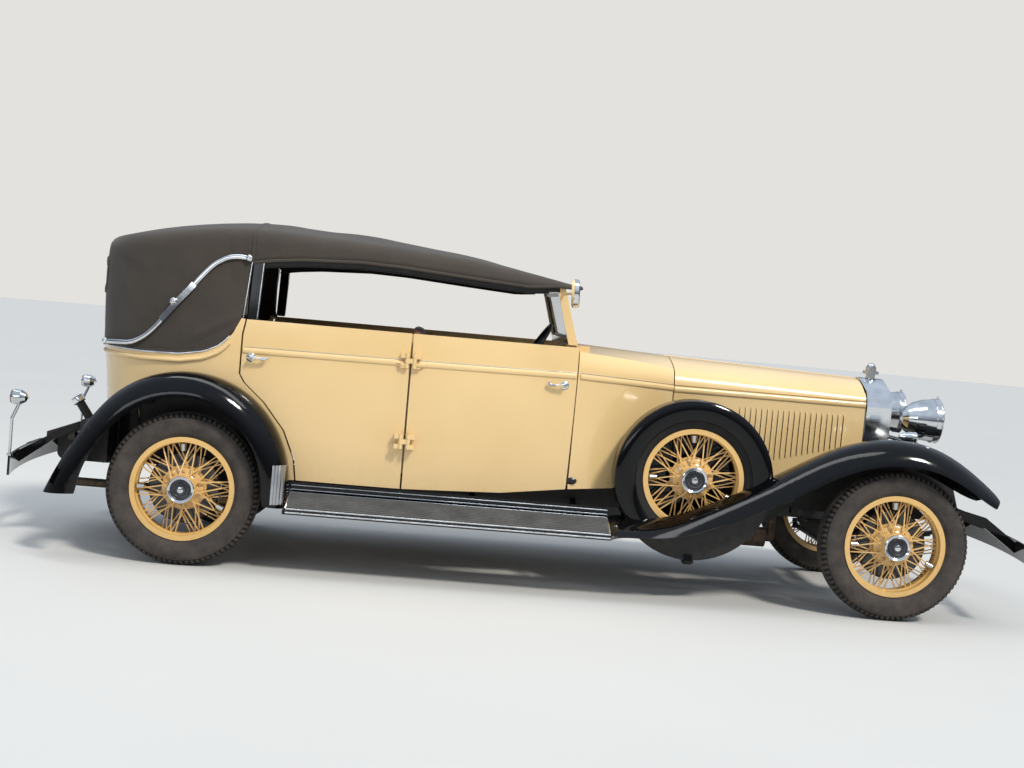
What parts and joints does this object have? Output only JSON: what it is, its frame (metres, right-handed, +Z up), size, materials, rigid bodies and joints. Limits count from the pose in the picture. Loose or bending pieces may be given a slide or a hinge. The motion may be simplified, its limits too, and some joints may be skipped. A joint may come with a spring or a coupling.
{
  "type": "four-door touring car",
  "caption": "Early-1930s four-door open tourer with its cloth top raised: cream coachwork, long black wings, wire wheels, two side-mounted spares, opening doors and bonnet.",
  "frame": {"origin": "on the ground midway between the bumper faces and between the two sides", "axes": "+X forward, +Y to the car's left, +Z up"},
  "size_m": [5.6196, 1.8106, 1.8558],
  "materials": {
    "body_cream": "coachwork paint, aged gloss",
    "wing_black": "gloss black enamel",
    "chassis_black": "satin chassis black, road dust",
    "engine_grey": "as cast",
    "exhaust_steel": "browned by heat",
    "clear_glass": "flat plate",
    "top_cloth": "double-texture rubberised cloth",
    "bright_chrome": "polished plating",
    "radiator_fins": "dark shutter fins",
    "brown_leather": "worn hide",
    "wheel_rim_black": "hard rubber rim",
    "board_rubber": "ribbed mat on pressed steel",
    "tyre_rubber": "dusty brown-black",
    "wheel_cream": "cream enamel wire wheel"
  },
  "bodies": {
    "car": {"chassis_frame": "chassis_black", "leaf_springs": "chassis_black", "front_axle": "chassis_black", "rear_axle": "chassis_black", "engine_block": "engine_grey", "exhaust": "exhaust_steel", "fuel_tank": "chassis_black", "body_floor": "body_cream", "scuttle": "body_cream", "windscreen_frame": "body_cream", "windscreen_glass": "clear_glass", "soft_top": "top_cloth", "landau_irons": "bright_chrome", "radiator_shell": "bright_chrome", "radiator_core": "radiator_fins", "headlamps": "bright_chrome", "side_lamps": "bright_chrome", "front_bumper": "wing_black", "rear_bumper": "wing_black", "tail_lamps": "bright_chrome", "front_seat": "brown_leather", "rear_seat": "brown_leather", "steering_column": "chassis_black", "rear_body": "body_cream", "front_wings": "wing_black", "rear_wings": "wing_black", "running_boards": "board_rubber", "spare_covers": "wing_black", "spare_tyres": "tyre_rubber", "spare_wheels": "wheel_cream"},
    "steering_wheel": {"steering_wheel": "wheel_rim_black"},
    "front_door_left": {"front_door_left": "body_cream"},
    "front_door_right": {"front_door_right": "body_cream"},
    "rear_door_left": {"rear_door_left": "body_cream"},
    "rear_door_right": {"rear_door_right": "body_cream"},
    "bonnet_top_left": {"bonnet_top_left": "body_cream"},
    "bonnet_top_right": {"bonnet_top_right": "body_cream"},
    "bonnet_side_left": {"bonnet_side_left": "body_cream"},
    "bonnet_side_right": {"bonnet_side_right": "body_cream"},
    "knuckle_left": {"knuckle_left": "chassis_black"},
    "knuckle_right": {"knuckle_right": "chassis_black"},
    "tie_rod": {"tie_rod": "chassis_black"},
    "road_wheel_front_left": {"tyre_front_left": "tyre_rubber", "wheel_front_left": "wheel_cream"},
    "road_wheel_front_right": {"tyre_front_right": "tyre_rubber", "wheel_front_right": "wheel_cream"},
    "road_wheel_rear_left": {"tyre_rear_left": "tyre_rubber", "wheel_rear_left": "wheel_cream"},
    "road_wheel_rear_right": {"tyre_rear_right": "tyre_rubber", "wheel_rear_right": "wheel_cream"}
  },
  "joints": [
    {"name": "steer_left", "type": "hinge", "parent": "car", "child": "knuckle_left", "pos_m": [1.98, 0.62, 0.405], "axis": [0, 0, 1], "range_deg": [-28, 28]},
    {"name": "steer_right", "type": "hinge", "parent": "car", "child": "knuckle_right", "pos_m": [1.98, -0.62, 0.405], "axis": [0, 0, 1], "range_deg": [-28, 28]},
    {"name": "tie_rod_pivot", "type": "hinge", "parent": "knuckle_left", "child": "tie_rod", "pos_m": [1.78, 0.62, 0.33], "axis": [0, 0, 1], "range_deg": [-28, 28]},
    {"name": "steering_wheel_turn", "type": "hinge", "parent": "car", "child": "steering_wheel", "pos_m": [-0.048, -0.368, 1.243], "axis": [0.8572, 0, -0.515], "range_deg": [-504, 504]},
    {"name": "spin_front_left", "type": "hinge", "parent": "knuckle_left", "child": "road_wheel_front_left", "pos_m": [1.98, 0.743, 0.405], "axis": [0, 1, 0], "continuous": true},
    {"name": "spin_front_right", "type": "hinge", "parent": "knuckle_right", "child": "road_wheel_front_right", "pos_m": [1.98, -0.743, 0.405], "axis": [0, 1, 0], "continuous": true},
    {"name": "spin_rear_left", "type": "hinge", "parent": "car", "child": "road_wheel_rear_left", "pos_m": [-1.83, 0.743, 0.405], "axis": [0, 1, 0], "continuous": true},
    {"name": "spin_rear_right", "type": "hinge", "parent": "car", "child": "road_wheel_rear_right", "pos_m": [-1.83, -0.743, 0.405], "axis": [0, 1, 0], "continuous": true},
    {"name": "front_door_left_swing", "type": "hinge", "parent": "car", "child": "front_door_left", "pos_m": [-0.672, 0.7513, 0.96], "axis": [0, 0, 1], "range_deg": [0, 70]},
    {"name": "front_door_right_swing", "type": "hinge", "parent": "car", "child": "front_door_right", "pos_m": [-0.672, -0.7513, 0.96], "axis": [0, 0, -1], "range_deg": [0, 70]},
    {"name": "rear_door_left_swing", "type": "hinge", "parent": "car", "child": "rear_door_left", "pos_m": [-0.712, 0.7513, 0.96], "axis": [0, 0, -1], "range_deg": [0, 70]},
    {"name": "rear_door_right_swing", "type": "hinge", "parent": "car", "child": "rear_door_right", "pos_m": [-0.712, -0.7513, 0.96], "axis": [0, 0, 1], "range_deg": [0, 70]},
    {"name": "bonnet_left_lift", "type": "hinge", "parent": "car", "child": "bonnet_top_left", "pos_m": [1.32985, 0, 1.287], "axis": [0.9995, 0, -0.0315], "range_deg": [0, 70]},
    {"name": "bonnet_right_lift", "type": "hinge", "parent": "car", "child": "bonnet_top_right", "pos_m": [1.32985, 0, 1.287], "axis": [-0.9995, 0, 0.0315], "range_deg": [0, 70]},
    {"name": "bonnet_side_left_fold", "type": "hinge", "parent": "bonnet_top_left", "child": "bonnet_side_left", "pos_m": [1.335, 0.333, 1.1512], "axis": [0.9948, -0.1021, -0.0053], "range_deg": [-49, 0]},
    {"name": "bonnet_side_right_fold", "type": "hinge", "parent": "bonnet_top_right", "child": "bonnet_side_right", "pos_m": [1.335, -0.333, 1.1512], "axis": [-0.9948, -0.1021, 0.0053], "range_deg": [-49, 0]}
  ],
  "couplings": [
    {"joint": "steer_right", "follows": "steer_left", "ratio": 1},
    {"joint": "tie_rod_pivot", "follows": "steer_left", "ratio": -1},
    {"joint": "steering_wheel_turn", "follows": "steer_left", "ratio": -18},
    {"joint": "bonnet_side_left_fold", "follows": "bonnet_left_lift", "ratio": -0.7},
    {"joint": "bonnet_side_right_fold", "follows": "bonnet_right_lift", "ratio": -0.7}
  ]
}
